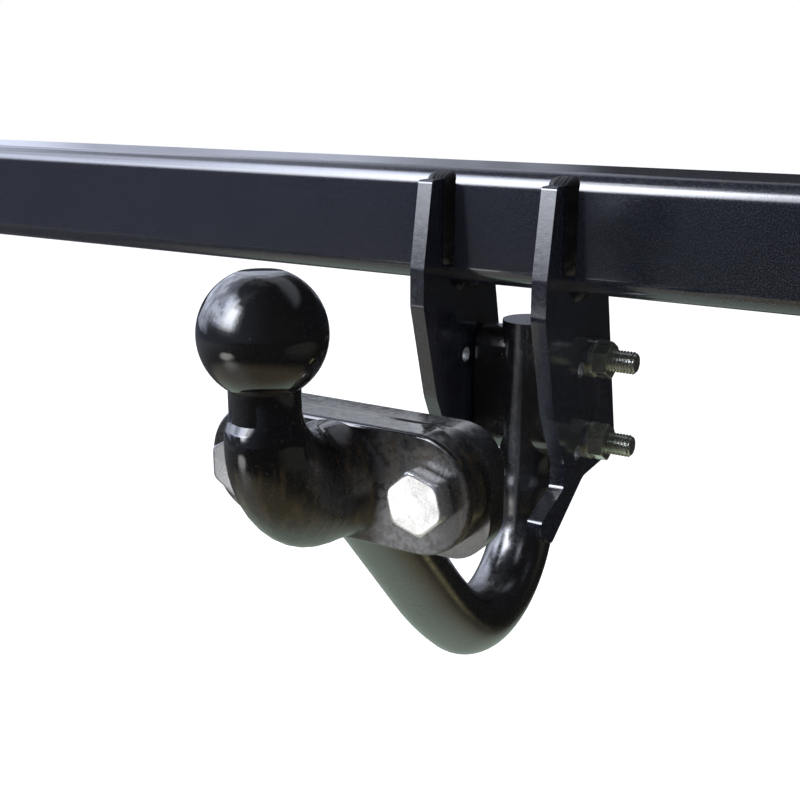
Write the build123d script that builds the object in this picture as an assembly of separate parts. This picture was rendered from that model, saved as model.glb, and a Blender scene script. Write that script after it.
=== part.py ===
from build123d import *
import os
from math import atan2, cos, degrees, hypot, pi, radians, sin, tan

# Fixed two-bolt flange towbar, in millimetres, +Z up.
# The origin is the centre of the tow ball. +X runs along the cross beam and
# +Y points to the front of the car, so the beam is ahead of the ball.

# Ball, shank and elbow
ball_dia = 50.0
ball_flat_dia = 18.0
shank_dia = 28.0
shank_drop = 33.0
shoulder_dia = 33.0
shoulder_rise = 3.0
saddle_radius = 16.0
saddle_angle = 58.0
elbow_top_drop = 45.0
elbow_height = 51.0
elbow_waist = 29.0
elbow_swell = 1.2
elbow_bolt_gap = 3.5
elbow_straight = 11.0
elbow_flare_length = 24.0
shoulder_steps = 5
elbow_steps = 12
flare_steps = 9

# Bolted joint between the ball flange and the neck flange
joint_reach = 58.5
bolt_line_drop = 70.5
flange_bolt_spacing = 90.0
flange_bolt_dia = 16.0
flange_bolt_length = 50.0
flange_hole_clearance = 0.75
ball_flange_thickness = 14.0
ball_flange_height = 52.0
ball_flange_end_margin = 21.0
neck_flange_thickness = 13.5
neck_flange_height = 57.0
neck_flange_end_margin = 22.0
neck_flange_lowering = 2.0
neck_flange_corner = 19.0
flange_edge_round = 2.0

# Swan neck
upright_dia = 30.0
bend_dia = 35.0
upright_reach = 234.5
arm_entry_drop = 76.0
arm_angle = 49.5
sweep_radius = 260.0
sweep_angle = 10.5
bend_radius = 50.0
neck_top_margin = 17.0
flare_length = 9.0
flare_rise = 12.0
block_depth = 25.0
block_round = 5.0

# Cross beam
beam_length = 960.0
beam_size = 60.0
beam_wall = 4.0
beam_corner = 10.0
beam_reach = 195.0
beam_top_height = 47.0

# Cheek plates and their bolts
cheek_thickness = 8.0
cheek_gap = 60.0
cheek_top_gap = 5.5
cheek_top_width = 16.5
cheek_front_width = 24.5
cheek_front_rise = 10.0
cheek_front_drop = 9.0
cheek_beam_overlap = 20.0
cheek_back_reach = 15.0
cheek_waist_reach = 49.5
cheek_waist_rise = 25.0
notch_reach = 34.0
notch_top_drop = 5.5
notch_bottom_drop = 18.0
toe_reach = 62.0
toe_top_drop = 28.5
toe_nose_reach = 60.0
toe_nose_drop = 36.0
toe_sole_reach = 47.0
toe_sole_drop = 44.5
sole_reach = 8.0
sole_drop = 18.5
heel_reach = 38.0
heel_drop = 15.5
cheek_top_round = 2.0
cheek_round = 12.0
cheek_waist_round = 30.0
notch_round = 8.0
toe_round = 4.5
cheek_bolt_dia = 12.0
cheek_bolt_length = 100.0
cheek_bolt_drop = 40.0
cheek_bolt_spacing = 45.5
cheek_hole_clearance = 0.5
accessory_hole_dia = 8.5
accessory_hole_offset = 17.0
accessory_hole_lowering = 3.0

# Side arms at the beam ends
arm_thickness = 8.0
arm_height = 76.0
arm_tip_height = 46.0
arm_tip_drop = 27.0
arm_root_length = 81.0
arm_taper_length = 40.0
arm_back_round = 10.0
arm_waist_round = 25.0
arm_tip_round = 18.0
arm_length = 235.0
arm_hole_dia = 13.0
arm_hole_spacing = 62.0
arm_hole_count = 3
arm_hole_end_margin = 26.0

# Weld beads
front_bead_leg = 5.5
under_bead_leg = 5.0
arm_bead_leg = 5.0

# Fasteners
m16_across_flats = 24.0
m16_head_height = 10.0
m16_nut_height = 14.8
m16_washer_dia = 30.0
m16_washer_thickness = 3.0
m16_end_chamfer = 1.5
m12_across_flats = 18.0
m12_head_height = 7.5
m12_nut_height = 8.0
m12_lock_washer_dia = 20.6
m12_lock_washer_thickness = 2.5
m12_end_chamfer = 1.3
nut_bore_clearance = 0.05
washer_bore_clearance = 0.5
lock_washer_slit = 1.6
lock_washer_slit_angle = 25.0
hexagon_face_share = 1.05
hexagon_chamfer_angle = 30.0

# How many times as long a cutter is as what it goes through
over_length = 4.0

# Places worked out from the sizes above
elbow_top_z = -elbow_top_drop
m16_corner_radius = m16_across_flats / 2 / cos(radians(30))
elbow_root_half_width = flange_bolt_spacing / 2 - m16_corner_radius - elbow_bolt_gap
ball_flange_front = joint_reach - ball_flange_thickness
neck_flange_back = joint_reach + neck_flange_thickness
neck_flange_mid = -bolt_line_drop - neck_flange_lowering
beam_bottom = beam_top_height - beam_size
beam_back = beam_reach + beam_size
upper_bolt_z = beam_bottom - cheek_bolt_drop
lower_bolt_z = upper_bolt_z - cheek_bolt_spacing
neck_top_z = upper_bolt_z + neck_top_margin
cheek_inner_x = cheek_gap / 2
cheek_outer_x = cheek_inner_x + cheek_thickness


def along_x(shape):
    """Turn a shape built along +Z so that it runs along +X."""
    return Rot(0, 90, 0) * shape


def along_y(shape):
    """Turn a shape built along +Z so that it runs along +Y."""
    return Rot(-90, 0, 0) * shape


def mirrored(shape):
    """The same shape on the other side of the mid-plane."""
    return mirror(shape, about=Plane.YZ)


# Fasteners
def hexagon_prism(across_flats, height, chamfer_bottom, chamfer_top):
    """Hexagon along +Z from Z = 0 with its corners turned off at the ends."""
    corner_radius = across_flats / 2 / cos(radians(30))
    prism = extrude(RegularPolygon(corner_radius, 6), height)
    turned = Cylinder(corner_radius, height, align=(Align.CENTER, Align.CENTER, Align.MIN))
    drop = corner_radius - across_flats / 2 * hexagon_face_share
    rise = drop * tan(radians(hexagon_chamfer_angle))
    edges = turned.edges().filter_by(GeomType.CIRCLE).sort_by(Axis.Z)
    if chamfer_bottom:
        turned = chamfer(edges[0], rise, drop)
        edges = turned.edges().filter_by(GeomType.CIRCLE).sort_by(Axis.Z)
    if chamfer_top:
        turned = chamfer(edges[-1], rise, drop)
    return prism & turned


def hex_bolt(diameter, length, across_flats, head_height, end_chamfer):
    """Bolt along +Z: the head sits below Z = 0 and the shank above it."""
    head = Pos(0, 0, -head_height) * hexagon_prism(across_flats, head_height, True, False)
    shank = Cylinder(diameter / 2, length, align=(Align.CENTER, Align.CENTER, Align.MIN))
    shank = chamfer(shank.edges().filter_by(GeomType.CIRCLE).sort_by(Axis.Z)[-1], end_chamfer)
    return head + shank


def hex_nut(diameter, across_flats, height):
    """Nut along +Z from Z = 0."""
    bore = Cylinder(diameter / 2 + nut_bore_clearance, over_length * height)
    return hexagon_prism(across_flats, height, True, True) - bore


def flat_washer(diameter, outer_dia, thickness):
    """Plain ring along +Z from Z = 0."""
    ring = Circle(outer_dia / 2) - Circle(diameter / 2 + washer_bore_clearance)
    return extrude(ring, thickness)


def lock_washer(diameter, outer_dia, thickness):
    """Spring ring with its slanting slit, along +Z from Z = 0."""
    ring = flat_washer(diameter, outer_dia, thickness)
    slit = Rot(lock_washer_slit_angle, 0, 0) * Box(outer_dia, lock_washer_slit, over_length * thickness)
    return ring - Pos(outer_dia / 2, 0, thickness / 2) * slit


# Ball and its forging
def forging_section(back, front, half_width):
    """Oval section whose long axis joins two (Y, Z) points of the side view."""
    middle_y = (back[0] + front[0]) / 2
    middle_z = (back[1] + front[1]) / 2
    half_depth = hypot(back[0] - front[0], back[1] - front[1]) / 2
    tilt = degrees(atan2(back[1] - front[1], back[0] - front[0]))
    place = Pos(0, middle_y, middle_z) * Rot(tilt, 0, 0)
    return place * scale(Circle(1), by=(half_width, half_depth, 1))


def saddle_point(angle):
    """Point on the round that joins the back of the shank to the elbow's top."""
    centre_y = shank_dia / 2 + saddle_radius
    centre_z = elbow_top_z + saddle_radius
    swing = radians(angle)
    return centre_y - saddle_radius * cos(swing), centre_z - saddle_radius * sin(swing)


def shoulder_sections():
    """Step from the shank to the elbow: crisp in front, a long round at the back."""
    sections = []
    for step in range(shoulder_steps):
        share = step / shoulder_steps
        radius = shank_dia / 2 + (shoulder_dia - shank_dia) / 2 * share
        front = (-radius, -shank_drop - shoulder_rise * share)
        sections.append(forging_section(saddle_point(saddle_angle * share), front, radius))
    return sections


def elbow_spread(y):
    """How much the elbow's half width has grown on its way to the flange."""
    widest = elbow_root_half_width - elbow_waist / 2
    share = min(max((y - ball_flange_front) / elbow_flare_length + 1, 0), 1)
    return widest * (1 - (1 - share ** 2) ** 0.5)


def elbow_sections():
    """Elbow that swings the forging round to the flange, with a waist before it."""
    pivot_y = ball_flange_front - elbow_straight
    pivot_z = -shank_drop - shoulder_rise
    start_y, start_z = saddle_point(saddle_angle)
    start_radius = pivot_y + shoulder_dia / 2
    end_radius = pivot_z - elbow_top_z + elbow_height
    sections = []
    for step in range(elbow_steps):
        share = step / elbow_steps
        radius = start_radius + (end_radius - start_radius) * share
        swing = radians(90 * share)
        front = (pivot_y - radius * cos(swing), pivot_z - radius * sin(swing))
        back = (start_y + (pivot_y - start_y) * share, start_z + (elbow_top_z - start_z) * share)
        half_width = shoulder_dia / 2 + (elbow_waist - shoulder_dia) / 2 * share ** 2
        half_width += elbow_swell * sin(pi * share) + elbow_spread((front[0] + back[0]) / 2)
        sections.append(forging_section(back, front, half_width))
    return sections


def flare_sections():
    """Straight end of the elbow that spreads sideways on to the flange and ends inside it."""
    top = elbow_top_z
    bottom = elbow_top_z - elbow_height
    sections = []
    for step in range(flare_steps + 1):
        y = ball_flange_front - elbow_straight * (1 - sin(radians(90 * step / flare_steps)))
        half_width = elbow_waist / 2 + elbow_spread(y)
        sections.append(forging_section((y, top), (y, bottom), half_width))
    y = ball_flange_front + flange_edge_round
    sections.append(forging_section((y, top), (y, bottom), half_width))
    return sections


def elbow():
    sections = shoulder_sections() + elbow_sections() + flare_sections()
    return loft(sections[::-1], ruled=True)


def ball_flange():
    end_radius = ball_flange_height / 2
    centres = flange_bolt_spacing + 2 * ball_flange_end_margin - 2 * end_radius
    plate = extrude(SlotCenterToCenter(centres, ball_flange_height), ball_flange_thickness)
    plate = along_y(plate)
    plate = Pos(0, ball_flange_front, -bolt_line_drop) * plate
    front_edges = plate.faces().sort_by(Axis.Y)[0].edges()
    return fillet(front_edges, flange_edge_round)


def flange_bolt_places():
    return [side * flange_bolt_spacing / 2 for side in (-1, 1)]


def flange_holes():
    joint_thickness = ball_flange_thickness + neck_flange_thickness
    hole = Cylinder(flange_bolt_dia / 2 + flange_hole_clearance, over_length * joint_thickness)
    holes = [Pos(x, joint_reach, -bolt_line_drop) * along_y(hole) for x in flange_bolt_places()]
    return Part() + holes


def tow_ball():
    radius = ball_dia / 2
    flat_height = (radius ** 2 - (ball_flat_dia / 2) ** 2) ** 0.5
    ball = Sphere(radius) - Pos(0, 0, flat_height + radius) * Box(ball_dia, ball_dia, ball_dia)
    shank = Pos(0, 0, -shank_drop) * Cylinder(
        shank_dia / 2, shank_drop, align=(Align.CENTER, Align.CENTER, Align.MIN)
    )
    body = ball_flange() + elbow()
    return ball + shank + body - flange_holes()


# Swan neck
def neck_path():
    """Centre line from the joint face down the arm, round the bend and up."""
    heading = radians(arm_angle)
    swing = radians(sweep_angle)
    turned = heading - swing
    sweep_run = sweep_radius * (sin(heading) - sin(turned))
    sweep_fall = sweep_radius * (cos(turned) - cos(heading))
    bend_run = bend_radius * (1 + sin(turned))
    straight_run = upright_reach - joint_reach - sweep_run - bend_run
    straight = straight_run / cos(heading)
    first = Vector(0, joint_reach, -arm_entry_drop)
    second = first + Vector(0, straight_run, -straight * sin(heading))
    third = second + Vector(0, sweep_run, -sweep_fall)
    bend_bottom = third.Z + bend_radius * cos(turned)
    fourth = Vector(0, upright_reach, bend_bottom)
    down = Vector(0, cos(heading), -sin(heading))
    steeper = Vector(0, cos(turned), -sin(turned))
    lead_in = first - down * 2 * neck_flange_thickness
    arm = Line(lead_in, second)
    slow_arc = TangentArc(second, third, tangent=down)
    bend = TangentArc(third, fourth, tangent=steeper)
    return arm + slow_arc + bend, fourth


def neck_bar():
    path, bend_end = neck_path()
    start = path @ 0
    section = Plane(start, x_dir=(1, 0, 0), z_dir=path % 0) * Circle(bend_dia / 2)
    bar = sweep(section, path=path)
    bar = split(bar, bisect_by=Plane((0, joint_reach, 0), z_dir=(0, 1, 0)), keep=Keep.TOP)
    return bar + Pos(0, upright_reach, bend_end.Z) * neck_upright(neck_top_z - bend_end.Z)


def neck_upright(height):
    """Turned bar above the bend, with the flare where it thickens to the bend's size."""
    outline = Polyline(
        (0, 0),
        (bend_dia / 2, 0),
        (bend_dia / 2, flare_rise),
        (upright_dia / 2, flare_rise + flare_length),
        (upright_dia / 2, height),
        (0, height),
        close=True,
    )
    return revolve(Plane.XZ * make_face(outline), Axis.Z)


def neck_block():
    """Rounded block round both bolts that fills the width between the cheeks."""
    outline = SlotCenterToCenter(cheek_bolt_spacing, block_depth)
    block = along_x(extrude(outline, cheek_gap / 2, both=True))
    faces = block.faces().sort_by(Axis.X)
    block = fillet(faces[0].edges() + faces[-1].edges(), block_round)
    return Pos(0, upright_reach, (upper_bolt_z + lower_bolt_z) / 2) * block


def cheek_bolt_holes():
    hole = along_x(Cylinder(cheek_bolt_dia / 2 + cheek_hole_clearance, over_length * cheek_gap))
    return Part() + [Pos(0, upright_reach, z) * hole for z in (upper_bolt_z, lower_bolt_z)]


def neck_flange():
    width = flange_bolt_spacing + 2 * neck_flange_end_margin
    face = RectangleRounded(width, neck_flange_height, neck_flange_corner)
    plate = Pos(0, joint_reach, neck_flange_mid) * along_y(extrude(face, neck_flange_thickness))
    back_edges = plate.faces().sort_by(Axis.Y)[-1].edges()
    return fillet(back_edges, flange_edge_round)


def swan_neck():
    return neck_bar() + neck_flange() + neck_block() - flange_holes() - cheek_bolt_holes()


# Cross beam
def beam_outline(extra=0.0):
    size = beam_size + 2 * extra
    return RectangleRounded(size, size, beam_corner + extra)


def beam_middle():
    return Pos(0, beam_reach + beam_size / 2, beam_top_height - beam_size / 2)


def beam_envelope():
    """The beam without its hollow."""
    return beam_middle() * along_x(extrude(beam_outline(), beam_length / 2, both=True))


def cross_beam():
    inner_size = beam_size - 2 * beam_wall
    inner = RectangleRounded(inner_size, inner_size, beam_corner - beam_wall)
    tube = extrude(beam_outline() - inner, beam_length / 2, both=True)
    return beam_middle() * along_x(tube)


# Cheek plates
def cheek_outline():
    """Side view of a cheek as (Y, Z) points with the radius of each corner."""
    front = beam_reach - cheek_front_width
    top = beam_top_height - cheek_top_gap
    return [
        (beam_reach - cheek_top_width, top, cheek_top_round),
        (front, beam_bottom + cheek_front_rise, cheek_round),
        (front, beam_bottom - cheek_front_drop, cheek_round),
        (upright_reach - cheek_waist_reach, lower_bolt_z + cheek_waist_rise, cheek_waist_round),
        (upright_reach - notch_reach, lower_bolt_z - notch_top_drop, notch_round),
        (upright_reach - notch_reach, lower_bolt_z - notch_bottom_drop, toe_round),
        (upright_reach - toe_reach, lower_bolt_z - toe_top_drop, toe_round),
        (upright_reach - toe_nose_reach, lower_bolt_z - toe_nose_drop, toe_round),
        (upright_reach - toe_sole_reach, lower_bolt_z - toe_sole_drop, toe_round),
        (upright_reach - sole_reach, lower_bolt_z - sole_drop, cheek_round),
        (upright_reach + heel_reach, lower_bolt_z - heel_drop, cheek_round),
        (upright_reach + cheek_back_reach, beam_bottom, 0),
        (upright_reach + cheek_back_reach, beam_bottom + cheek_beam_overlap, 0),
        (beam_reach + cheek_beam_overlap, top, 0),
    ]


def cheek_plate():
    corners = cheek_outline()
    wire = Polyline(*[(y, z) for y, z, radius in corners], close=True)
    face = make_face(wire)
    for y, z, radius in corners:
        if radius > 0:
            corner = face.vertices().sort_by_distance((y, z, 0))[0]
            face = fillet(corner, radius)
    plate = Plane.YZ.offset(cheek_inner_x) * extrude(face, cheek_thickness)
    plate = plate - beam_envelope() - cheek_bolt_holes()
    accessory = along_x(Cylinder(accessory_hole_dia / 2, over_length * cheek_gap))
    for z in (upper_bolt_z, lower_bolt_z):
        plate -= Pos(0, upright_reach - accessory_hole_offset, z - accessory_hole_lowering) * accessory
    return plate


# Side arms
def side_arm():
    """Arm on the +X end of the beam, with the holes for the car's side rail."""
    x = beam_length / 2
    overhang = (arm_height - beam_size) / 2
    top = beam_top_height + overhang
    bottom = beam_bottom - overhang
    tip_top = top - arm_tip_drop
    tip_bottom = tip_top - arm_tip_height
    back = beam_reach - overhang
    waist_back = back + arm_root_length
    waist_front = waist_back + arm_taper_length
    front = back + arm_length
    corners = [
        (back, bottom, arm_back_round),
        (back, top, arm_back_round),
        (waist_back, top, arm_waist_round),
        (waist_front, tip_top, arm_waist_round),
        (front, tip_top, arm_tip_round),
        (front, tip_bottom, arm_tip_round),
        (waist_front, tip_bottom, arm_waist_round),
        (waist_back, bottom, arm_waist_round),
    ]
    face = make_face(Polyline(*[(y, z) for y, z, radius in corners], close=True))
    for y, z, radius in corners:
        corner = face.vertices().sort_by_distance((y, z, 0))[0]
        face = fillet(corner, radius)
    plate = Plane.YZ.offset(x) * extrude(face, arm_thickness)
    hole = along_x(Cylinder(arm_hole_dia / 2, over_length * arm_thickness))
    hole_z = (tip_top + tip_bottom) / 2
    for index in range(arm_hole_count):
        y = front - arm_hole_end_margin - index * arm_hole_spacing
        if y > beam_back + arm_hole_dia:
            plate -= Pos(x, y, hole_z) * hole
    return plate


# Weld beads
def bead_round(face, leg):
    """Fillet bead of one leg round a footprint, rising along the face's normal."""
    grown = offset(face, leg, kind=Kind.ARC)
    return extrude(grown, leg, taper=45)


def cheek_front_weld():
    """Bead down both sides of the cheek on the beam and over its top end."""
    top = beam_top_height - cheek_top_gap
    bottom = beam_bottom + beam_corner
    middle_x = (cheek_inner_x + cheek_outer_x) / 2
    footprint = Rectangle(cheek_thickness, top - bottom)
    plane = Plane((middle_x, beam_reach, (top + bottom) / 2), x_dir=(1, 0, 0), z_dir=(0, -1, 0))
    bead = bead_round(footprint, front_bead_leg)
    grown = offset(footprint, front_bead_leg, kind=Kind.ARC)
    bead += Pos(0, 0, -beam_corner) * extrude(grown, beam_corner)
    return plane * bead - beam_envelope() - cheek_plate()


def cheek_under_weld():
    """Bead along both sides of the cheek on the flat of the beam's underside."""
    front = beam_reach + beam_corner + under_bead_leg
    back = min(upright_reach + cheek_back_reach, beam_back - beam_corner) - under_bead_leg
    middle_x = (cheek_inner_x + cheek_outer_x) / 2
    footprint = Rectangle(cheek_thickness, back - front)
    plane = Plane((middle_x, (front + back) / 2, beam_bottom), x_dir=(1, 0, 0), z_dir=(0, 0, -1))
    bead = plane * bead_round(footprint, under_bead_leg)
    return bead - cheek_plate() - beam_envelope()


def side_arm_weld():
    """Bead round the +X end of the beam, on the inner face of the side arm."""
    grown = beam_outline(arm_bead_leg)
    bead = extrude(grown, arm_bead_leg, taper=45)
    bead = Rot(0, -90, 0) * bead
    bead = Pos(beam_length / 2, 0, 0) * beam_middle() * bead
    return bead - beam_envelope()


# Fastener groups
def flange_bolts():
    bolt = along_y(hex_bolt(
        flange_bolt_dia, flange_bolt_length, m16_across_flats, m16_head_height, m16_end_chamfer
    ))
    return [Pos(x, ball_flange_front, -bolt_line_drop) * bolt for x in flange_bolt_places()]


def flange_washers():
    washer = along_y(flat_washer(flange_bolt_dia, m16_washer_dia, m16_washer_thickness))
    return [Pos(x, neck_flange_back, -bolt_line_drop) * washer for x in flange_bolt_places()]


def flange_nuts():
    nut = along_y(hex_nut(flange_bolt_dia, m16_across_flats, m16_nut_height))
    y = neck_flange_back + m16_washer_thickness
    return [Pos(x, y, -bolt_line_drop) * nut for x in flange_bolt_places()]


def cheek_bolts():
    bolt = along_x(hex_bolt(
        cheek_bolt_dia, cheek_bolt_length, m12_across_flats, m12_head_height, m12_end_chamfer
    ))
    return [Pos(-cheek_outer_x, upright_reach, z) * bolt for z in (upper_bolt_z, lower_bolt_z)]


def cheek_lock_washers():
    washer = along_x(lock_washer(cheek_bolt_dia, m12_lock_washer_dia, m12_lock_washer_thickness))
    return [Pos(cheek_outer_x, upright_reach, z) * washer for z in (upper_bolt_z, lower_bolt_z)]


def cheek_nuts():
    nut = along_x(hex_nut(cheek_bolt_dia, m12_across_flats, m12_nut_height))
    x = cheek_outer_x + m12_lock_washer_thickness
    return [Pos(x, upright_reach, z) * nut for z in (upper_bolt_z, lower_bolt_z)]


def main():
    cheek = cheek_plate()
    front_weld = cheek_front_weld()
    under_weld = cheek_under_weld()
    arm = side_arm()
    arm_weld = side_arm_weld()
    nodes = {
        "cross_beam": cross_beam(),
        "side_arm_right": arm,
        "side_arm_left": mirrored(arm),
        "side_arm_weld_right": arm_weld,
        "side_arm_weld_left": mirrored(arm_weld),
        "cheek_plate_right": cheek,
        "cheek_plate_left": mirrored(cheek),
        "cheek_front_weld_right": front_weld,
        "cheek_front_weld_left": mirrored(front_weld),
        "cheek_under_weld_right": under_weld,
        "cheek_under_weld_left": mirrored(under_weld),
        "swan_neck": swan_neck(),
        "tow_ball": tow_ball(),
        "flange_bolts": Compound(children=flange_bolts()),
        "flange_washers": Compound(children=flange_washers()),
        "flange_nuts": Compound(children=flange_nuts()),
        "cheek_bolts": Compound(children=cheek_bolts()),
        "cheek_lock_washers": Compound(children=cheek_lock_washers()),
        "cheek_nuts": Compound(children=cheek_nuts()),
    }
    os.makedirs("parts", exist_ok=True)
    for name, shape in nodes.items():
        export_step(shape, f"parts/{name}.step")


main()
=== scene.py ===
import math
from collections import namedtuple

import bpy
from mathutils import Matrix, Vector

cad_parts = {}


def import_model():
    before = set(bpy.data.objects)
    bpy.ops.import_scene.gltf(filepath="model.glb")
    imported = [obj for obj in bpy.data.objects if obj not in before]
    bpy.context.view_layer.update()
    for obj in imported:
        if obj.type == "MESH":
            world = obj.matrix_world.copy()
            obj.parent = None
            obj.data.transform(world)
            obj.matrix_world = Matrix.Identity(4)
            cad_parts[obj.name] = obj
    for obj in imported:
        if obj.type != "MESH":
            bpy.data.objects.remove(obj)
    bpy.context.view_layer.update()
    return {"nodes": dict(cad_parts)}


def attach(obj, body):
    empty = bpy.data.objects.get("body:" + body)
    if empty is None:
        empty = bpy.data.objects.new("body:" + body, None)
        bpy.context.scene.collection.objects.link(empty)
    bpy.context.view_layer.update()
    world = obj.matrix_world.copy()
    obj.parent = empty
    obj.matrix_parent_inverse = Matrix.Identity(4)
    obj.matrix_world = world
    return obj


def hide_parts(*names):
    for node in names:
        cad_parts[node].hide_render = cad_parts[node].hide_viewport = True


# Looks of the fixed towbar, in metres, in the frame of the CAD model.
# The origin is the centre of the ball, +X along the beam, +Y to the car, +Z up.
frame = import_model()
nodes = frame["nodes"]
scene = bpy.context.scene

MM = 0.001
SIDES = {"right": 1, "left": -1}

# Places and sizes that the CAD model has too, in millimetres
BALL_FLANGE_FRONT = 44.5
FLANGE_BOLT_X = (-45.0, 45.0)
FLANGE_BOLT_Z = -70.5
CHEEK_INNER_X = 30.0
CHEEK_OUTER_X = 38.0
CHEEK_TOP_Z = 41.5
CHEEK_BOLT_Y = 234.5
CHEEK_BOLT_Z = (-53.0, -98.5)
SMALL_HOLE_BACK = 17.0
SMALL_HOLE_LOWERING = 3.0
BEAM_END_X = 480.0
BEAM_MIDDLE_Y = 225.0
BEAM_MIDDLE_Z = 17.0
BEAM_HALF = 30.0
BEAM_CORNER = 10.0
BEAM_FLAT_HALF = BEAM_HALF - BEAM_CORNER

# How far each flange bolt's head is turned, in degrees
FLANGE_BOLT_TURN = (0.0, -12.4)

# Where finishes begin and end, in millimetres
WELD_STAIN_TOP_Z = 12.0
WELD_STAIN_FOOT_Z = -6.0
SHOULDER_Z = -45.0
FORGED_SKIN_Z = -52.0
DRY_SKIN_X = 16.0
DRY_SKIN_EDGE_X = 28.0
DRY_SKIN_END_X = 60.0
DRY_SKIN_TOP_Z = -58.0
DRY_SKIN_Z = -88.0


# Node trees
def rgb(red, green, blue):
    return (red, green, blue, 1.0)


def grey(level):
    return rgb(level, level, level)


class Graph:
    """Small helper that adds nodes to a tree and links them."""

    def __init__(self, tree):
        self.tree = tree
        self.tree.nodes.clear()

    def node(self, kind, **settings):
        made = self.tree.nodes.new(kind)
        for key, value in settings.items():
            setattr(made, key, value)
        return made

    def link(self, output, socket):
        self.tree.links.new(output, socket)

    def feed(self, socket, value):
        """Link an output to the socket, or set the socket to a value."""
        if isinstance(value, bpy.types.NodeSocket):
            self.link(value, socket)
        else:
            socket.default_value = value

    def math(self, operation, first, second=0.0):
        made = self.node("ShaderNodeMath", operation=operation)
        self.feed(made.inputs[0], first)
        self.feed(made.inputs[1], second)
        return made.outputs[0]

    def times(self, first, second):
        return self.math("MULTIPLY", first, second)

    def plus(self, first, second):
        return self.math("ADD", first, second)

    def remap(self, value, low, high, to_low, to_high):
        made = self.node("ShaderNodeMapRange")
        self.feed(made.inputs["Value"], value)
        self.feed(made.inputs["From Min"], low)
        self.feed(made.inputs["From Max"], high)
        self.feed(made.inputs["To Min"], to_low)
        self.feed(made.inputs["To Max"], to_high)
        return made.outputs["Result"]

    def fade(self, value, start, stop, floor=0.0):
        """From the floor at start to 1 at stop, with a smooth change between."""
        result = self.remap(value, start, stop, floor, 1.0)
        result.node.interpolation_type = "SMOOTHSTEP"
        return result

    def mix(self, share, first, second, blend="MIX"):
        made = self.node("ShaderNodeMix", data_type="RGBA", blend_type=blend)
        self.feed(made.inputs[0], share)
        self.feed(made.inputs[6], first)
        self.feed(made.inputs[7], second)
        return made.outputs[2]

    def noise(self, place, scale, detail, roughness):
        made = self.node("ShaderNodeTexNoise")
        self.feed(made.inputs["Vector"], place)
        made.inputs["Scale"].default_value = scale
        made.inputs["Detail"].default_value = detail
        made.inputs["Roughness"].default_value = roughness
        return made.outputs["Fac"]

    def voronoi(self, place, scale):
        made = self.node("ShaderNodeTexVoronoi")
        self.feed(made.inputs["Vector"], place)
        made.inputs["Scale"].default_value = scale
        return made.outputs["Distance"]

    def bump(self, height, depth, under=None):
        """Bump whose height runs from 0 to 1 for depth metres."""
        made = self.node("ShaderNodeBump")
        made.inputs["Strength"].default_value = 1.0
        made.inputs["Distance"].default_value = depth
        self.feed(made.inputs["Height"], height)
        if under is not None:
            self.link(under, made.inputs["Normal"])
        return made.outputs["Normal"]

    def place(self):
        return self.node("ShaderNodeTexCoord").outputs["Object"]

    def split(self, vector):
        """The X, Y and Z of a vector."""
        made = self.node("ShaderNodeSeparateXYZ")
        self.link(vector, made.inputs[0])
        return tuple(made.outputs)

    def normal(self):
        """How far the surface faces along X, Y and Z, each from -1 to 1."""
        return self.split(self.node("ShaderNodeNewGeometry").outputs["Normal"])

    def edge_wear_and_hollow_shade(self, low, high):
        """1 along convex edges and 0 elsewhere. With low above high it is 1 in hollows instead,
        which marks painted shade.
        """
        pointiness = self.node("ShaderNodeNewGeometry").outputs["Pointiness"]
        return self.remap(pointiness, low, high, 0.0, 1.0)

    def principled(self, **sockets):
        shader = self.node("ShaderNodeBsdfPrincipled")
        for key, value in sockets.items():
            self.feed(shader.inputs[key.replace("_", " ")], value)
        output = self.node("ShaderNodeOutputMaterial")
        self.link(shader.outputs[0], output.inputs["Surface"])


def new_material(name):
    material = bpy.data.materials.new(name)
    material.use_nodes = True
    return material, Graph(material.node_tree)


# Materials. Colours are linear, noise scales are per metre and bump depths are in metres.
def powder_coat(name):
    """Satin black coating with a fine grain, faint blotches, dust and rubbed edges."""
    material, g = new_material(name)
    place = g.place()
    up = g.normal()[2]
    blotch = g.noise(place, 22.0, 4.0, 0.6)
    grain = g.noise(place, 1400.0, 0.0, 0.5)
    peel = g.noise(place, 260.0, 3.0, 0.55)

    dark, light = rgb(0.006, 0.0065, 0.0105), rgb(0.0085, 0.009, 0.0135)
    colour = g.mix(g.remap(blotch, 0.3, 0.75, 0.0, 1.0), dark, light)
    speck = g.remap(grain, 0.48, 0.72, 0.0, 0.6)
    colour = g.mix(speck, colour, rgb(0.045, 0.052, 0.078))
    dust = g.times(g.remap(up, 0.5, 1.0, 0.0, 0.3), g.remap(peel, 0.4, 0.75, 0.2, 1.0))
    colour = g.mix(dust, colour, rgb(0.10, 0.098, 0.098))
    wear = g.times(g.edge_wear_and_hollow_shade(0.53, 0.6), g.remap(peel, 0.45, 0.7, 0.0, 0.35))
    colour = g.mix(wear, colour, rgb(0.10, 0.10, 0.11))

    rough = g.plus(g.remap(blotch, 0.3, 0.7, 0.12, 0.145), g.remap(grain, 0.3, 0.7, -0.02, 0.03))
    normal = g.bump(peel, 0.00003)
    normal = g.bump(grain, 0.000008, normal)
    g.principled(Base_Color=colour, Roughness=rough, Normal=normal, IOR=2.05)
    return material


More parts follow.
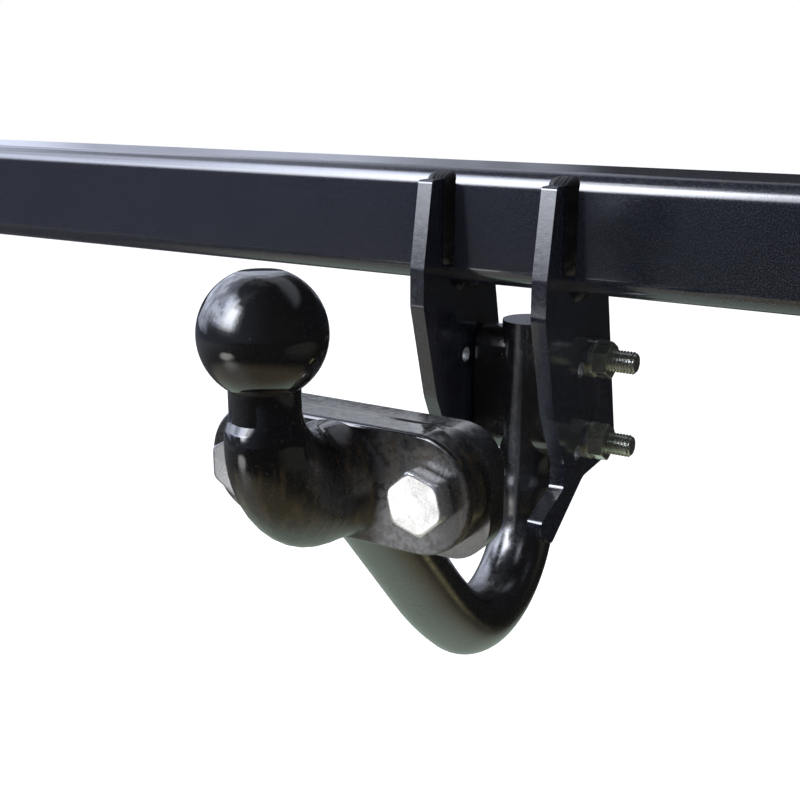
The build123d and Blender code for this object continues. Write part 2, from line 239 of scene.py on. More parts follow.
def weld_metal(name):
    """Dull black coating over weld metal, thin and stained at the foot of each bead."""
    material, g = new_material(name)
    place = g.place()
    height = g.split(place)[2]
    blotch = g.noise(place, 120.0, 4.0, 0.6)
    fine = g.noise(place, 900.0, 2.0, 0.6)

    dark, light = rgb(0.0025, 0.0025, 0.0025), rgb(0.007, 0.0065, 0.0055)
    colour = g.mix(g.remap(blotch, 0.35, 0.7, 0.0, 1.0), dark, light)
    foot = g.fade(height, WELD_STAIN_TOP_Z * MM, WELD_STAIN_FOOT_Z * MM)
    stain = g.times(foot, g.remap(blotch, 0.46, 0.62, 0.0, 0.5))
    colour = g.mix(stain, colour, rgb(0.12, 0.11, 0.08))

    rough = g.remap(fine, 0.3, 0.7, 0.36, 0.5)
    normal = g.bump(blotch, 0.00008)
    normal = g.bump(fine, 0.00002, normal)
    g.principled(Base_Color=colour, Roughness=rough, Normal=normal, IOR=1.4)
    return material


def rust_and_dry_skin(g, colour, peel, forged):
    """Brown streaks on the forged skin, and dry grey skin on the front of the flange."""
    place = g.place()
    x, _, z = g.split(place)
    drawn_down =g.node("ShaderNodeMapping")
    g.link(place, drawn_down.inputs["Vector"])
    drawn_down.inputs["Scale"].default_value = (1.0, 1.0, 0.16)
    streak = g.noise(drawn_down.outputs[0], 260.0, 3.0, 0.6)
    rust = g.times(g.remap(streak, 0.48, 0.68, 0.0, 0.55), forged)
    colour = g.mix(rust, colour, rgb(0.07, 0.043, 0.015))

    from_middle = g.math("ABSOLUTE", x)
    beside_elbow = g.fade(from_middle, DRY_SKIN_X * MM, DRY_SKIN_EDGE_X * MM)
    before_end = g.fade(from_middle, DRY_SKIN_END_X * MM, FLANGE_BOLT_X[1] * MM, 0.15)
    low_down = g.fade(z, DRY_SKIN_TOP_Z * MM, DRY_SKIN_Z * MM, 0.2)
    to_front = g.fade(g.normal()[1], -0.75, -0.95)
    dry = g.times(g.times(beside_elbow, before_end), g.times(to_front, low_down))
    dry = g.times(dry, g.remap(peel, 0.35, 0.6, 0.3, 1.0))
    return g.mix(dry, colour, rgb(0.26, 0.26, 0.265))


def gloss_black(name, ior, skin_depth, peel_depth, polished_ball):
    """Gloss black coating. On the ball's forging it lies over rough skin below the shoulder."""
    material, g = new_material(name)
    place = g.place()
    up = g.normal()[2]
    blotch = g.noise(place, 30.0, 4.0, 0.6)
    peel = g.noise(place, 330.0, 3.0, 0.6)
    pits = g.remap(g.voronoi(place, 420.0), 0.0, 0.25, 0.0, 1.0)
    if polished_ball:
        forged = g.fade(g.split(place)[2], SHOULDER_Z * MM, FORGED_SKIN_Z * MM)
    else:
        forged = g.remap(blotch, 0.3, 0.7, 0.7, 0.9)

    dark, light = rgb(0.004, 0.004, 0.0045), rgb(0.009, 0.009, 0.009)
    colour = g.mix(g.remap(blotch, 0.35, 0.7, 0.0, 1.0), dark, light)
    if polished_ball:
        colour = rust_and_dry_skin(g, colour, peel, forged)
    speck = g.remap(g.noise(place, 1100.0, 2.0, 0.6), 0.62, 0.8, 0.0, 0.5)
    colour = g.mix(speck, colour, rgb(0.07, 0.07, 0.075))
    spatter = g.remap(g.noise(place, 760.0, 2.0, 0.6), 0.66, 0.76, 0.0, 0.35)
    colour = g.mix(spatter, colour, rgb(0.09, 0.09, 0.095))
    dust = g.times(g.remap(up, 0.8, 1.0, 0.0, 0.75), g.remap(peel, 0.38, 0.66, 0.15, 1.0))
    colour = g.mix(dust, colour, rgb(0.15, 0.15, 0.155))

    polish = g.plus(g.remap(blotch, 0.3, 0.7, 0.04, 0.07), g.remap(peel, 0.3, 0.7, -0.01, 0.02))
    grit = g.plus(g.remap(blotch, 0.3, 0.7, 0.20, 0.30), g.remap(peel, 0.3, 0.7, -0.05, 0.08))
    rough = g.remap(forged, 0.0, 1.0, polish, grit)
    normal = g.bump(g.times(g.noise(place, 75.0, 3.0, 0.5), forged), skin_depth)
    normal = g.bump(g.times(peel, g.remap(forged, 0.0, 1.0, 0.25, 1.0)), peel_depth, normal)
    normal = g.bump(pits, 0.00001, normal)
    g.principled(Base_Color=colour, Roughness=rough, Normal=normal, IOR=ior)
    return material


def zinc(name, clean, dull, roughness, metallic):
    """Plated steel with cloudy patches, a fine tooth and painted shade in its hollows."""
    material, g = new_material(name)
    place = g.place()
    cloud = g.noise(place, 90.0, 4.0, 0.6)
    fine = g.noise(place, 1500.0, 3.0, 0.7)

    colour = g.mix(g.remap(cloud, 0.35, 0.7, 0.0, 1.0), clean, dull)
    # Painted shade: darker colour in the hollows, where shade falls
    hollow_shade = g.times(g.edge_wear_and_hollow_shade(0.48, 0.42), 0.6)
    colour = g.mix(hollow_shade, colour, rgb(0.12, 0.11, 0.09))

    cloudy = g.remap(cloud, 0.3, 0.7, roughness - 0.05, roughness + 0.08)
    rough = g.plus(cloudy, g.remap(fine, 0.3, 0.7, -0.04, 0.06))
    normal = g.bump(cloud, 0.00002)
    normal = g.bump(fine, 0.000005, normal)
    g.principled(Base_Color=colour, Metallic=metallic, Roughness=rough, Normal=normal)
    return material


coating = powder_coat("satin_black_coating")
weld_coating = weld_metal("coated_weld_metal")
forging = gloss_black("gloss_black_forging", 1.85, 0.00025, 0.0001, True)
neck_coat = gloss_black("gloss_black_neck", 2.45, 0.00002, 0.00004, False)
bright_zinc = zinc("bright_zinc_plate", rgb(0.96, 0.965, 0.97), rgb(0.92, 0.925, 0.93), 0.20, 0.9)
rough_zinc = zinc("rough_zinc_plate", rgb(0.62, 0.64, 0.66), rgb(0.45, 0.47, 0.49), 0.5, 0.8)
olive_zinc = zinc("olive_zinc_plate", rgb(0.86, 0.88, 0.82), rgb(0.52, 0.55, 0.47), 0.25, 0.97)


# Modifiers
SHARP_ANGLE = 35.0
BEVEL_ANGLE = 40.0
WELD_DISTANCE = 0.000002
FLAT_FACE_WEIGHT = 90


def smooth_by_angle_group():
    """Geometry nodes that shade a mesh smooth apart from its sharp edges."""
    group = bpy.data.node_groups.new("smooth_by_angle", "GeometryNodeTree")
    group.interface.new_socket("Geometry", in_out="INPUT", socket_type="NodeSocketGeometry")
    group.interface.new_socket("Geometry", in_out="OUTPUT", socket_type="NodeSocketGeometry")
    g = Graph(group)
    start = g.node("NodeGroupInput")
    end = g.node("NodeGroupOutput")
    faces = g.node("GeometryNodeSetShadeSmooth", domain="FACE")
    edges = g.node("GeometryNodeSetShadeSmooth", domain="EDGE")
    angle = g.node("GeometryNodeInputMeshEdgeAngle")
    below = g.node("FunctionNodeCompare", data_type="FLOAT", operation="LESS_THAN")
    g.link(start.outputs[0], faces.inputs["Geometry"])
    g.link(faces.outputs[0], edges.inputs["Geometry"])
    g.link(angle.outputs["Unsigned Angle"], below.inputs[0])
    below.inputs[1].default_value = math.radians(SHARP_ANGLE)
    g.link(below.outputs[0], edges.inputs["Shade Smooth"])
    g.link(edges.outputs[0], end.inputs[0])
    return group


SMOOTH = smooth_by_angle_group()


def shade(obj):
    obj.modifiers.new("shade", "NODES").node_group = SMOOTH


def edge_round(obj, width, segments):
    bevel = obj.modifiers.new("edge", "BEVEL")
    bevel.width = width
    bevel.segments = segments
    bevel.limit_method = "ANGLE"
    bevel.angle_limit = math.radians(BEVEL_ANGLE)
    bevel.use_clamp_overlap = True


def keep_flats_flat(obj):
    """Normals that lean on the large faces beside each rounded edge."""
    modifier = obj.modifiers.new("normals", "WEIGHTED_NORMAL")
    modifier.keep_sharp = True
    modifier.weight = FLAT_FACE_WEIGHT


def dress(name, material, edge_width=0.0, segments=2):
    """A CAD node with its finish and slightly rounded edges."""
    obj = nodes[name]
    if "custom_normal" in obj.data.attributes:
        obj.data.attributes.remove(obj.data.attributes["custom_normal"])
    obj.data.materials.clear()
    obj.data.materials.append(material)
    obj.modifiers.new("weld", "WELD").merge_threshold = WELD_DISTANCE
    if edge_width:
        edge_round(obj, edge_width, segments)
    shade(obj)
    if edge_width:
        keep_flats_flat(obj)


dress("cross_beam", coating, 0.0004)
for side_name in SIDES:
    dress(f"side_arm_{side_name}", coating, 0.0007)
    dress(f"cheek_plate_{side_name}", coating, 0.0007, 3)
dress("tow_ball", forging)
dress("swan_neck", neck_coat)
dress("flange_washers", bright_zinc, 0.00035)
dress("flange_nuts", bright_zinc, 0.0003)
dress("cheek_lock_washers", olive_zinc, 0.0002)
dress("cheek_nuts", olive_zinc, 0.0003)


# Meshes of the scene's own pieces, made of closed rows of points in millimetres
def new_piece(name, rows, faces, material, slot, *stands_for):
    """A mesh that rides on the body and stands for the nodes that it names."""
    mesh = bpy.data.meshes.new(name)
    mesh.from_pydata([Vector(point) * MM for row in rows for point in row], [], faces)
    mesh.validate()
    mesh.materials.append(material)
    obj = bpy.data.objects.new(name, mesh)
    scene.collection.objects.link(obj)
    shade(obj)
    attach(obj, "root")
    if stands_for:
        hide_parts(*stands_for)


def open_skin(rows):
    """Quads from each row to the next."""
    count = len(rows[0])
    faces = []
    for row in range(len(rows) - 1):
        low = row * count
        high = low + count
        for column in range(count):
            following = (column + 1) % count
            faces.append((low + column, low + following, high + following, high + column))
    return faces


def capped_skin(rows):
    """Quads from each row to the next, and a face over the first and the last row."""
    count = len(rows[0])
    total = len(rows) * count
    return open_skin(rows) + [tuple(reversed(range(count))), tuple(range(total - count, total))]


def closed_skin(rows):
    """Quads from each row to the next, and from the last row to the first."""
    total = len(rows) * len(rows[0])
    return [tuple(index % total for index in face) for face in open_skin(rows + rows[:1])]


def circle_angles(count):
    return [2 * math.pi * step / count for step in range(count)]


# Bolts with threads. Diameters and lengths are in millimetres.
Bolt = namedtuple("Bolt", "diameter pitch length thread_start across_flats head_height")
M16 = Bolt(16.0, 2.0, 50.0, 40.0, 24.0, 10.0)
M12 = Bolt(12.0, 1.75, 100.0, 84.0, 18.0, 7.5)

BOLT_COLUMNS = 96
ROWS_PER_TURN = 8
# Shares of the pitch
THREAD_DEPTH = 0.61
CREST_SHARE = 0.12
FLANK_SHARE = 0.68
END_CHAMFER = 0.75
# The head: how round and how sharp its corners are, and the edge of its flat face
CORNER_ROUND = 0.985
CORNER_SHARPNESS = 8.0
FACE_SHARE = 1.07
HEAD_CHAMFER = math.tan(math.radians(30))
# Rings up the hexagon from its face: share of its width, rise in millimetres, chamfered or not
HEAD_RINGS = ((0.88, 0.0, 0), (0.9, 0.0, 0), (0.975, 0.0, 1), (0.992, 0.07, 1), (1.0, 0.22, 1))
HEAD_BASE_RINGS = ((1.0, -0.35), (0.985, -0.05))
# Round rings on the head's face and under it, as shares of the width across flats
FACE_RING = 0.25
BASE_RING = 0.48
# Millimetres: the fillet under the head, and the rings that close both ends
FILLET_REACH = 0.3
FILLET_RISE = 0.4
TIP_RADIUS = 0.02
TIP_RISE = 0.02
TIP_RING = 0.9


def hexagon_radius(angle, across_flats):
    """Distance to a hexagon with slightly rounded corners, at an angle."""
    turn = (angle + math.pi / 6) % (math.pi / 3) - math.pi / 6
    flat = across_flats / 2 / math.cos(turn)
    corner = across_flats / 2 / math.cos(math.pi / 6) * CORNER_ROUND
    both = math.exp(-flat * CORNER_SHARPNESS) + math.exp(-corner * CORNER_SHARPNESS)
    return -math.log(both) / CORNER_SHARPNESS


def thread_depth(turns):
    """Share of the thread's depth at a number of turns: 0 on the crest, 1 in the root."""
    height = abs(turns % 1.0 - 0.5) * 2
    return min(1.0, max(0.0, (height - CREST_SHARE) / FLANK_SHARE))


def screw_rows(bolt):
    """Rows of the thread with its end chamfer, up to the end of the screw."""
    radius = bolt.diameter / 2
    threaded = bolt.length - bolt.thread_start
    chamfer_start = bolt.length - END_CHAMFER * bolt.pitch
    steps = int(threaded / bolt.pitch * ROWS_PER_TURN)
    rows = []
    for step in range(steps + 1):
        z = bolt.thread_start + threaded * step / steps
        depth = THREAD_DEPTH * bolt.pitch * min(1.0, step / ROWS_PER_TURN)
        end = radius - max(0.0, z - chamfer_start)
        row = []
        for angle in circle_angles(BOLT_COLUMNS):
            cut = depth * thread_depth(z / bolt.pitch - angle / (2 * math.pi))
            around = min(radius - cut, end)
            row.append((around * math.cos(angle), around * math.sin(angle), z))
        rows.append(row)
    return rows


def bolt_rows(bolt):
    """Rows of a bolt along +Z with its head below Z = 0."""
    angles = circle_angles(BOLT_COLUMNS)
    radius = bolt.diameter / 2
    face_radius = bolt.across_flats / 2 * FACE_SHARE

    def ring(reach, z):
        return [(reach * math.cos(angle), reach * math.sin(angle), z) for angle in angles]

    def hexagon_ring(share, z, chamfered=0):
        row = []
        for angle in angles:
            reach = hexagon_radius(angle, bolt.across_flats) * share
            drop = max(0.0, reach - face_radius) * HEAD_CHAMFER * chamfered
            row.append((reach * math.cos(angle), reach * math.sin(angle), z + drop))
        return row

    face = -bolt.head_height
    rows = [ring(TIP_RADIUS, face), ring(bolt.across_flats * FACE_RING, face)]
    rows += [hexagon_ring(share, face + rise, chamfered) for share, rise, chamfered in HEAD_RINGS]
    rows += [hexagon_ring(share, z) for share, z in HEAD_BASE_RINGS]
    rows += [ring(bolt.across_flats * BASE_RING, 0.0)]
    rows += [ring(radius + FILLET_REACH, 0.0), ring(radius, FILLET_RISE)]
    rows += screw_rows(bolt)
    end_radius = radius - END_CHAMFER * bolt.pitch
    end = bolt.length + TIP_RISE
    return rows + [ring(end_radius * TIP_RING, end), ring(TIP_RADIUS, end)]


def make_bolt(name, bolt, where, material, slot, stands_for):
    rows = [[where @ Vector(point) for point in row] for row in bolt_rows(bolt)]
    new_piece(name, rows, capped_skin(rows), material, slot, stands_for)


Z_TO_Y = Matrix.Rotation(math.radians(-90), 4, "X")
Z_TO_X = Matrix.Rotation(math.radians(90), 4, "Y")

for number, (x, turn) in enumerate(zip(FLANGE_BOLT_X, FLANGE_BOLT_TURN), 1):
    spin = Matrix.Rotation(math.radians(turn), 4, "Z")
    where = Matrix.Translation((x, BALL_FLANGE_FRONT, FLANGE_BOLT_Z)) @ Z_TO_Y @ spin
    make_bolt(f"flange_bolt_{number}", M16, where, bright_zinc, "bright_zinc", "flange_bolts")
for number, z in enumerate(CHEEK_BOLT_Z, 1):
    where = Matrix.Translation((-CHEEK_OUTER_X, CHEEK_BOLT_Y, z)) @ Z_TO_X
    make_bolt(f"cheek_bolt_{number}", M12, where, olive_zinc, "yellow_zinc", "cheek_bolts")


# Plated linings of the cheeks' small holes
LINING_COLUMNS = 48
LINING_OUTER_RADIUS = 4.2
LINING_INNER_RADIUS = 3.9
LINING_REACH = 3.9


def lining(name, x, y, z):
    """Thin sleeve along X, open at both ends."""
    outer, inner, reach = LINING_OUTER_RADIUS, LINING_INNER_RADIUS, LINING_REACH
    rows = []
    for radius, along in ((outer, -reach), (inner, -reach), (inner, reach), (outer, reach)):
        rows.append([
            (x + along, y + radius * math.cos(angle), z + radius * math.sin(angle))
            for angle in circle_angles(LINING_COLUMNS)
        ])
    new_piece(name, rows, closed_skin(rows), rough_zinc, "bright_zinc")


for side_name, side in SIDES.items():
    for row_name, bolt_z in zip(("upper", "lower"), CHEEK_BOLT_Z):
        lining(
            f"hole_lining_{side_name}_{row_name}", side * (CHEEK_INNER_X + CHEEK_OUTER_X) / 2,
            CHEEK_BOLT_Y - SMALL_HOLE_BACK, bolt_z - SMALL_HOLE_LOWERING,
        )


# Weld beads. A path is a list of (corner, first direction, second direction).
BEAD_COLUMNS = 10
BEAD_STEP = 0.4
# Lengths in millimetres: how deep the root lies, the ripple of the toes and how far they sink
BEAD_ROOT = 0.6
TOE_RIPPLE = 0.25
TOE_SINK = 0.15
# Shares of the leg: ripple of the crown and slow unevenness, and the power that rounds the crown
CROWN_RIPPLE = 0.05
UNEVENNESS = 0.07
CROWN_POWER = 1.35
# Share of the leg at an open end, and how much each next row adds to it
END_SHARE = 0.35
END_GROWTH = 0.3
# How far a crescent's tips lie from its middle along the bead, as a share of the pitch
CRESCENT_BOW = 0.35
# Slow waves of a hand-run bead: share, radians per millimetre, and radians per seed
HAND_WAVES = ((0.6, 0.37, 1.0), (0.4, 0.83, 2.3))
# The cheek's front bead: its inset from the plate's edges, and its slant over the plate's top
FRONT_BEAD_INSET = 0.4
FRONT_BEAD_SLANT = (0.62, 0.78)
# Steps in each corner's arc
CHEEK_ARC_STEPS = 14
BEAM_ARC_STEPS = 30


def ripple(along, across, pitch):
    """Height share of a bead's crescents, from 0 to 1."""
    crest = (along / pitch + CRESCENT_BOW * across * across) % 1.0
    return 1.0 - abs(2 * crest - 1.0) ** 2.0


def wobble(along, seed):
    """Slow unevenness of a hand-run bead, from -1 to 1."""
    return sum(share * math.sin(along * pace + start * seed) for share, pace, start in HAND_WAVES)


def bead_row(corner, first, second, size, along, pitch):
    """Points across a bead: its root, then its crown from the first toe to the second."""
    row = [corner - (first + second) * BEAD_ROOT]
    for step in range(BEAD_COLUMNS + 1):
        share = step / BEAD_COLUMNS
        angle = math.pi / 2 * share
        crown = math.sin(angle * 2)
        crescent = ripple(along, 2 * share - 1, pitch)
        swollen = size * (1.0 + CROWN_RIPPLE * crescent * crown)
        toe = TOE_RIPPLE * (1.0 - crown) * crescent
        reach_first = swollen * math.cos(angle) ** CROWN_POWER + toe * math.cos(angle)
        reach_second = swollen * math.sin(angle) ** CROWN_POWER + toe * math.sin(angle)
        if step == 0:
            reach_second -= TOE_SINK
        if step == BEAD_COLUMNS:
            reach_first -= TOE_SINK
        row.append(corner + first * reach_first + second * reach_second)
    return row


def bead(name, path, leg, pitch, seed, closed, stands_for):
    """Rippled fillet bead along a path."""
    last = len(path) - 1
    along = 0.0
    rows = []
    for number, (corner, first, second) in enumerate(path):
        corner, first, second = Vector(corner), Vector(first), Vector(second)
        if number:
            along += (corner - Vector(path[number - 1][0])).length
        end = 1.0 if closed else min(1.0, END_SHARE + END_GROWTH * min(number, last - number))
        size = leg * (1.0 + UNEVENNESS * wobble(along, seed)) * end
        rows.append(bead_row(corner, first, second, size, along, pitch))
    faces = closed_skin(rows) if closed else capped_skin(rows)
    new_piece(name, rows, faces, weld_coating, "coated_weld", stands_for)


def arc(centre, radius, start, stop, steps):
    """(point, outward direction) along an arc in a plane, angles in degrees."""
    made = []
    for step in range(steps + 1):
        angle = math.radians(start + (stop - start) * step / steps)
        out = (math.cos(angle), math.sin(angle))
        made.append(((centre[0] + radius * out[0], centre[1] + radius * out[1]), out))
    return made


def run(start, stop, out):
    """(point, outward direction) along a straight run."""
    start, stop = Vector(start), Vector(stop)
    steps = max(2, int((stop - start).length / BEAD_STEP))
    return [(tuple(start.lerp(stop, step / steps)), out) for step in range(steps + 1)]


def beam_front(z):
    """Where the beam's front face or its rounded top corner is at a height."""
    over = max(0.0, z - (BEAM_MIDDLE_Z + BEAM_FLAT_HALF))
    return BEAM_MIDDLE_Y - BEAM_FLAT_HALF - math.sqrt(BEAM_CORNER ** 2 - over ** 2)


def cheek_front_path(side):
    """Up one face of the cheek, over its top and down the other, where it meets the beam's front."""
    inset = FRONT_BEAD_INSET
    back, up = FRONT_BEAD_SLANT
    inner = CHEEK_INNER_X + inset
    outer = CHEEK_OUTER_X - inset
    shoulder = CHEEK_TOP_Z - inset
    foot = BEAM_MIDDLE_Z - BEAM_FLAT_HALF
    outline = run((inner, foot), (inner, shoulder), (-1.0, 0.0))
    outline += arc((inner + inset, shoulder), inset, 180, 90, CHEEK_ARC_STEPS)
    outline += run((inner + inset, CHEEK_TOP_Z), (outer - inset, CHEEK_TOP_Z), (0.0, 1.0))
    outline += arc((outer - inset, shoulder), inset, 90, 0, CHEEK_ARC_STEPS)
    outline += run((outer, shoulder), (outer, foot), (1.0, 0.0))
    return [
        ((side * x, beam_front(z), z), (side * out_x, back * out_z, up * out_z), (0.0, -1.0, 0.0))
        for (x, z), (out_x, out_z) in outline
    ]


def cheek_under_path(x, out):
    """Along the beam's underside beside a cheek's face."""
    start = (x, BEAM_MIDDLE_Y - BEAM_FLAT_HALF)
    stop = (x, BEAM_MIDDLE_Y + BEAM_FLAT_HALF)
    bottom = BEAM_MIDDLE_Z - BEAM_HALF
    return [
        ((*corner, bottom), (*outward, 0.0), (0.0, 0.0, -1.0))
        for corner, outward in run(start, stop, (out, 0.0))
    ]


def beam_end_path(side):
    """Round the beam where it meets a side arm."""
    corners = ((1, 1), (-1, 1), (-1, -1), (1, -1))
    centres = [(y * BEAM_FLAT_HALF, z * BEAM_FLAT_HALF) for y, z in corners]
    outline = []
    for index, centre in enumerate(centres):
        outline += arc(centre, BEAM_CORNER, 90 * index, 90 * (index + 1), BEAM_ARC_STEPS)
        tail, out = outline[-1]
        next_y, next_z = centres[(index + 1) % len(centres)]
        head = (next_y + BEAM_CORNER * out[0], next_z + BEAM_CORNER * out[1])
        outline += run(tail, head, out)[1:-1]
    return [
        (
            (side * BEAM_END_X, BEAM_MIDDLE_Y + y, BEAM_MIDDLE_Z + z),
            (0.0, out_y, out_z),
            (-side, 0.0, 0.0),
        )
        for (y, z), (out_y, out_z) in outline
    ]


for side_name, side in SIDES.items():
    bead(
        f"weld_cheek_front_{side_name}", cheek_front_path(side), leg=4.4, pitch=2.2, seed=1.0 + side,
        closed=False, stands_for=f"cheek_front_weld_{side_name}",
    )
    for face_name, x, out in (("inner", CHEEK_INNER_X, -1.0), ("outer", CHEEK_OUTER_X, 1.0)):
        bead(
            f"weld_cheek_under_{side_name}_{face_name}", cheek_under_path(side * x, side * out),
            leg=5.0, pitch=2.9, seed=2.0 + side + out, closed=False,
            stands_for=f"cheek_under_weld_{side_name}",
        )
    bead(
        f"weld_side_arm_{side_name}", beam_end_path(side), leg=5.0, pitch=3.0, seed=4.0 + side,
        closed=True, stands_for=f"side_arm_weld_{side_name}",
    )


# Floor, light and camera, in metres
FLOOR_Z = -0.42
FLOOR_HALF = 6.0
# How much the floor glows to the camera, so that its shaded colour comes out pale
FLOOR_LIFT = 0.5
# Level directions: to the middle of the sky window, and a quarter turn from it to the camera's side
WINDOW_WAY = (math.sin(math.radians(-125)), math.cos(math.radians(-125)))
WINDOW_SIDE = (math.sin(math.radians(145)), math.cos(math.radians(145)))
CAMERA_PLACE = (0.26831, -0.34108, 0.09519)
CAMERA_DIP = 15.666
CAMERA_TURN = 31.409
CAMERA_LENS = 53.06
SOFT_BOX_PLACE = (-1.5, -0.3, 1.2)
SOFT_BOX_AIM = (0.0, 0.15, -0.05)
SOFT_BOX_SIZE = (1.6, 1.2)
SOFT_BOX_WATTS = 26.0


def floor_glow_in_gloss(g):
    """What gloss mirrors of the floor, painted as glow for glossy rays: dim ground with paler
    patches, brown or green close by.
    """
    x, y, _ = g.split(g.place())
    level =g.node("ShaderNodeCombineXYZ")
    g.link(x, level.inputs["X"])
    g.link(y, level.inputs["Y"])

    def patch(at_x, at_y, inner, outer):
        """1 within the inner radius of a point of the floor, 0 beyond the outer one."""
        apart = g.node("ShaderNodeVectorMath", operation="DISTANCE")
        g.link(level.outputs[0], apart.inputs[0])
        apart.inputs[1].default_value = (at_x, at_y, 0.0)
        return g.fade(apart.outputs["Value"], outer, inner)

    far_left = g.mix(patch(-0.3, -0.6, 1.1, 2.6), rgb(0.12, 0.13, 0.18), rgb(0.28, 0.29, 0.32))
    far = g.mix(g.fade(x, -2.5, 0.3), far_left, rgb(0.018, 0.018, 0.016))
    near = g.mix(g.fade(x, -0.12, 0.08), rgb(0.41, 0.39, 0.34), rgb(0.28, 0.235, 0.14))
    colour = g.mix(patch(-0.10, -0.02, 0.34, 0.66), far, near)
    colour = g.mix(patch(-0.7, 1.6, 0.4, 0.9), colour, rgb(0.30, 0.31, 0.34))
    colour = g.mix(patch(0.36, 0.53, 0.03, 0.12), colour, rgb(0.80, 0.70, 0.38))
    colour = g.mix(patch(1.5, 0.5, 0.5, 1.1), colour, rgb(0.10, 0.105, 0.09))
    green = g.times(patch(-0.14, 0.28, 0.22, 0.46), g.fade(x, 0.34, 0.0))
    colour = g.mix(green, colour, rgb(0.50, 0.60, 0.52))
    # Painted reflected light: a pale and a bright spot that glow to glossy rays
    colour = g.mix(patch(-0.27, -0.47, 0.0, 0.22), colour, rgb(0.95, 0.94, 0.92))
    return g.mix(patch(-0.46, -0.79, 0.10, 0.29), colour, rgb(2.0, 1.98, 1.95))


def floor():
    """Pale to the camera and to matt light; to glossy rays it glows in toned patches, a painted
    reflection.
    """
    half = FLOOR_HALF
    mesh = bpy.data.meshes.new("studio_floor")
    corners = [(-half, -half), (half, -half), (half, half), (-half, half)]
    mesh.from_pydata([(x, y, FLOOR_Z) for x, y in corners], [], [(0, 1, 2, 3)])
    obj = bpy.data.objects.new("studio_floor", mesh)
    scene.collection.objects.link(obj)
    material, g = new_material("pale_floor")
    path = g.node("ShaderNodeLightPath")
    diffuse = g.node("ShaderNodeBsdfDiffuse")
    diffuse.inputs["Color"].default_value = rgb(0.8, 0.8, 0.8)
    lift = g.node("ShaderNodeEmission")
    lift.inputs["Color"].default_value = rgb(1.0, 1.0, 1.0)
    g.link(g.times(path.outputs["Is Camera Ray"], FLOOR_LIFT), lift.inputs["Strength"])
    seen = g.node("ShaderNodeAddShader")
    g.link(diffuse.outputs[0], seen.inputs[0])
    g.link(lift.outputs[0], seen.inputs[1])
    # Painted glow: glossy rays see the floor as an emitter, not as a lit surface
    gloss_glow = g.node("ShaderNodeEmission")
    g.link(floor_glow_in_gloss(g), gloss_glow.inputs["Color"])
    gloss_glow.inputs["Strength"].default_value = 1.0
    pick = g.node("ShaderNodeMixShader")
    g.link(path.outputs["Is Glossy Ray"], pick.inputs[0])
    g.link(seen.outputs[0], pick.inputs[1])
    g.link(gloss_glow.outputs[0], pick.inputs[2])
    output = g.node("ShaderNodeOutputMaterial")
    g.link(pick.outputs[0], output.inputs["Surface"])
    mesh.materials.append(material)


def profile(g, value, *stops):
    """Level along an angle, through (degrees, level) stops in rising order."""
    low, high = stops[0][0], stops[-1][0]
    curve = g.node("ShaderNodeValToRGB")
    g.link(g.remap(value, math.radians(low), math.radians(high), 0.0, 1.0), curve.inputs[0])
    ramp = curve.color_ramp
    ramp.interpolation = "EASE"
    ramp.elements[0].color = grey(stops[0][1])
    ramp.elements[1].color = grey(stops[-1][1])
    for angle, level in stops[1:-1]:
        ramp.elements.new((angle - low) / (high - low)).color = grey(level)
    return curve.outputs[0]


def sky_in_gloss(g, way, y, azimuth, ahead, height):
    """What gloss mirrors of the sky: a bright window on the left, mottled on its left side."""
    # Angles run from the window's middle, and above 0 is right of it as the ball mirrors it
    sweep = profile(
        g, azimuth, (-125.0, 0.0), (-104.0, 0.003), (-99.0, 0.06), (-90.0, 0.095), (-80.0, 0.1),
        (-74.0, 0.17), (-66.0, 0.22), (-50.0, 0.2), (-38.0, 0.25), (-15.0, 0.36), (0.0, 0.55),
        (12.0, 0.7), (23.0, 1.0), (34.0, 1.0), (40.0, 0.45), (47.0, 0.06), (55.0, 0.0),
    )
    foot = ((0.0, 0.0), (8.0, 0.03), (12.0, 0.25), (17.0, 0.6), (24.0, 0.9), (31.0, 1.0))
    rise_right = profile(g, height, *foot, (41.0, 1.0), (48.0, 0.4), (55.0, 0.02), (90.0, 0.005))
    rise_middle = profile(g, height, *foot, (49.0, 1.0), (55.0, 0.6), (62.0, 0.02), (90.0, 0.005))
    rise_left = profile(
        g, height, (-10.0, 0.06), (-4.0, 0.3), (3.0, 0.65), (14.0, 1.0), (37.0, 1.0), (45.0, 0.4),
        (56.0, 0.2), (62.0, 0.01), (80.0, 0.0),
    )
    to_middle = g.fade(azimuth, math.radians(26.0), math.radians(12.0))
    to_left = g.fade(azimuth, math.radians(-10.0), math.radians(-40.0))
    rise = g.mix(to_left, g.mix(to_middle, rise_right, rise_middle), rise_left)
    glow = g.times(sweep, rise)
    beside = g.fade(azimuth, math.radians(20.0), math.radians(2.0))
    mottle = g.remap(g.noise(way, 5.0, 4.0, 0.6), 0.4, 0.6, 0.5, 1.15)
    glow = g.times(glow, g.remap(beside, 0.0, 1.0, 1.0, mottle))
    sky = g.mix(beside, rgb(10.2, 10.6, 11.6), rgb(9.2, 9.9, 12.0))
    haze = g.mix(g.fade(ahead, -0.3, 0.8), rgb(0.022, 0.022, 0.025), rgb(0.11, 0.12, 0.17))
    colour = g.mix(1.0, haze, g.mix(glow, rgb(0.0, 0.0, 0.0), sky), "ADD")

    # A weak light high behind the beam
    rise_back = profile(
        g, height, (20.0, 0.0), (34.0, 0.0), (44.0, 1.0), (60.0, 1.0), (70.0, 0.0), (80.0, 0.0),
    )
    back = g.times(rise_back, g.fade(y, 0.25, 0.55))
    return g.mix(1.0, colour, g.mix(back, rgb(0.0, 0.0, 0.0), rgb(0.33, 0.35, 0.40)), "ADD")


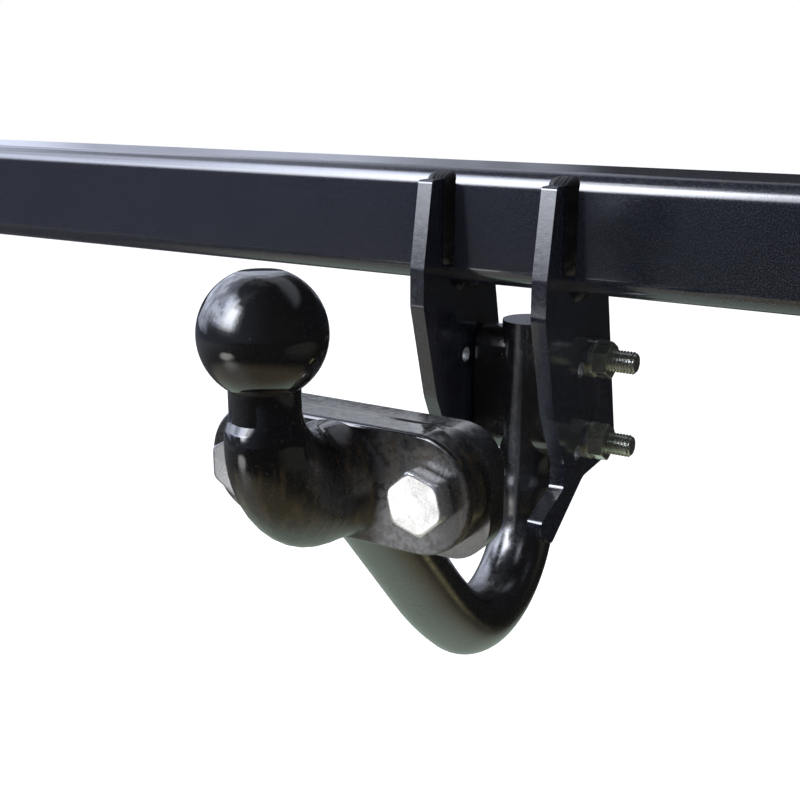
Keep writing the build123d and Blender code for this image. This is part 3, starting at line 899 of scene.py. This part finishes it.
def world():
    """White to the camera, a soft sky for matt light, and a window of sky on the left for gloss."""
    made = bpy.data.worlds.new("studio")
    scene.world = made
    made.use_nodes = True
    g = Graph(made.node_tree)
    way = g.node("ShaderNodeTexCoord").outputs["Generated"]
    x, y, z = g.split(way)
    turned = g.plus(g.times(x, WINDOW_SIDE[0]), g.times(y, WINDOW_SIDE[1]))
    ahead = g.plus(g.times(x, WINDOW_WAY[0]), g.times(y, WINDOW_WAY[1]))
    azimuth = g.math("ARCTAN2", turned, ahead)
    height = g.math("ARCSINE", z)
    gloss_glow = sky_in_gloss(g, way, y, azimuth, ahead, height)
    soft = g.mix(g.fade(ahead, -0.6, 0.8), rgb(0.16, 0.16, 0.17), rgb(1.30, 1.33, 1.40))
    path = g.node("ShaderNodeLightPath")
    colour = g.mix(path.outputs["Is Glossy Ray"], soft, gloss_glow)
    colour = g.mix(path.outputs["Is Camera Ray"], colour, rgb(1.0, 1.0, 1.0))
    background = g.node("ShaderNodeBackground")
    g.link(colour, background.inputs["Color"])
    output = g.node("ShaderNodeOutputWorld")
    g.link(background.outputs[0], output.inputs["Surface"])


def soft_box():
    light = bpy.data.lights.new("soft_box", "AREA")
    light.shape = "RECTANGLE"
    light.size, light.size_y = SOFT_BOX_SIZE
    light.energy = SOFT_BOX_WATTS
    light.color = (0.96, 0.98, 1.0)
    obj = bpy.data.objects.new("soft_box", light)
    scene.collection.objects.link(obj)
    obj.location = SOFT_BOX_PLACE
    aim = Vector(SOFT_BOX_AIM) - obj.location
    obj.rotation_mode = "QUATERNION"
    obj.rotation_quaternion = aim.to_track_quat("-Z", "Y")
    obj.visible_glossy = False
    obj.visible_camera = False


def camera():
    data = bpy.data.cameras.new("camera")
    data.sensor_width = 36.0
    data.lens = CAMERA_LENS
    data.clip_start = 0.01
    data.clip_end = 50.0
    obj = bpy.data.objects.new("camera", data)
    scene.collection.objects.link(obj)
    obj.location = CAMERA_PLACE
    obj.rotation_euler = (math.radians(90 - CAMERA_DIP), 0.0, math.radians(CAMERA_TURN))
    scene.camera = obj


floor()
world()
soft_box()
camera()
scene.view_settings.view_transform = "Standard"
